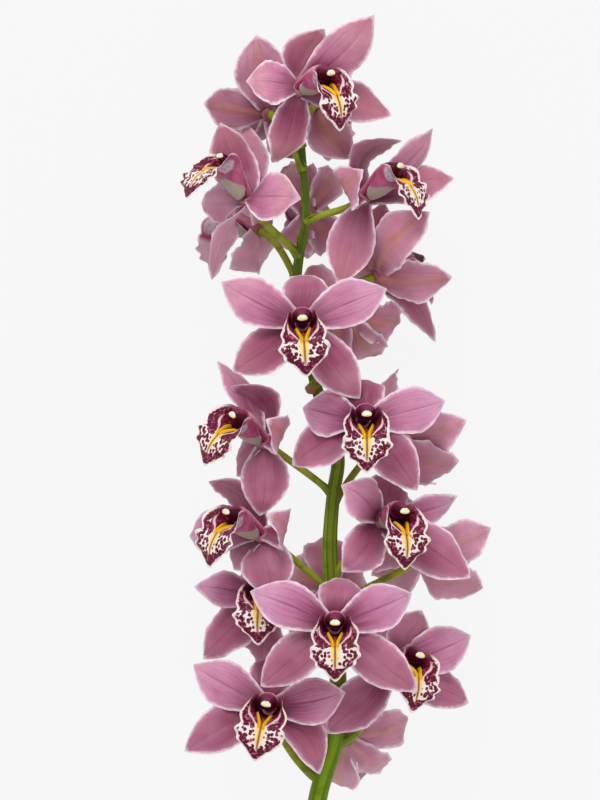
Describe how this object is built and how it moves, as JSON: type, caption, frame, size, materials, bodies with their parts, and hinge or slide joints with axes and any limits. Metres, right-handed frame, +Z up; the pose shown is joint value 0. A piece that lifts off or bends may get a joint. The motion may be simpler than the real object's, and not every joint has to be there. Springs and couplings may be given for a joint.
{
  "type": "cymbidium orchid stem",
  "caption": "Cut cymbidium orchid stem: pink blooms with spotted lips on short stalks along an arching green stem, lying on its side.",
  "frame": {"origin": "centre of the bounding box at its base, where the spray lies on the surface", "axes": "+Z up from the surface, +Y along the stem from its cut end to the tip of the spray, +X to the right of it seen from above"},
  "size_m": [0.1738, 0.5739, 0.13],
  "materials": {
    "tepals": "satin, waxy petal",
    "lip": "satin, waxy petal",
    "stem": "smooth, moist"
  },
  "bodies": {
    "root": {"bloom_01_tepals": "tepals", "bloom_01_lip": "lip", "bloom_02_tepals": "tepals", "bloom_02_lip": "lip", "bloom_03_tepals": "tepals", "bloom_03_lip": "lip", "bloom_04_tepals": "tepals", "bloom_04_lip": "lip", "bloom_05_tepals": "tepals", "bloom_05_lip": "lip", "bloom_06_tepals": "tepals", "bloom_06_lip": "lip", "bloom_07_tepals": "tepals", "bloom_07_lip": "lip", "bloom_08_tepals": "tepals", "bloom_08_lip": "lip", "bloom_09_tepals": "tepals", "bloom_09_lip": "lip", "bloom_10_tepals": "tepals", "bloom_10_lip": "lip", "bloom_11_tepals": "tepals", "bloom_11_lip": "lip", "bloom_12_tepals": "tepals", "bloom_12_lip": "lip", "bloom_13_tepals": "tepals", "bloom_13_lip": "lip", "bloom_14_tepals": "tepals", "bloom_14_lip": "lip", "bloom_15_tepals": "tepals", "bloom_15_lip": "lip", "bloom_16_tepals": "tepals", "bloom_16_lip": "lip", "bloom_17_tepals": "tepals", "bloom_17_lip": "lip", "bloom_18_tepals": "tepals", "bloom_18_lip": "lip", "bloom_19_tepals": "tepals", "bloom_19_lip": "lip", "bloom_20_tepals": "tepals", "bloom_20_lip": "lip", "bloom_21_tepals": "tepals", "bloom_21_lip": "lip", "bloom_22_tepals": "tepals", "bloom_22_lip": "lip", "stem": "stem"}
  },
  "joints": []
}
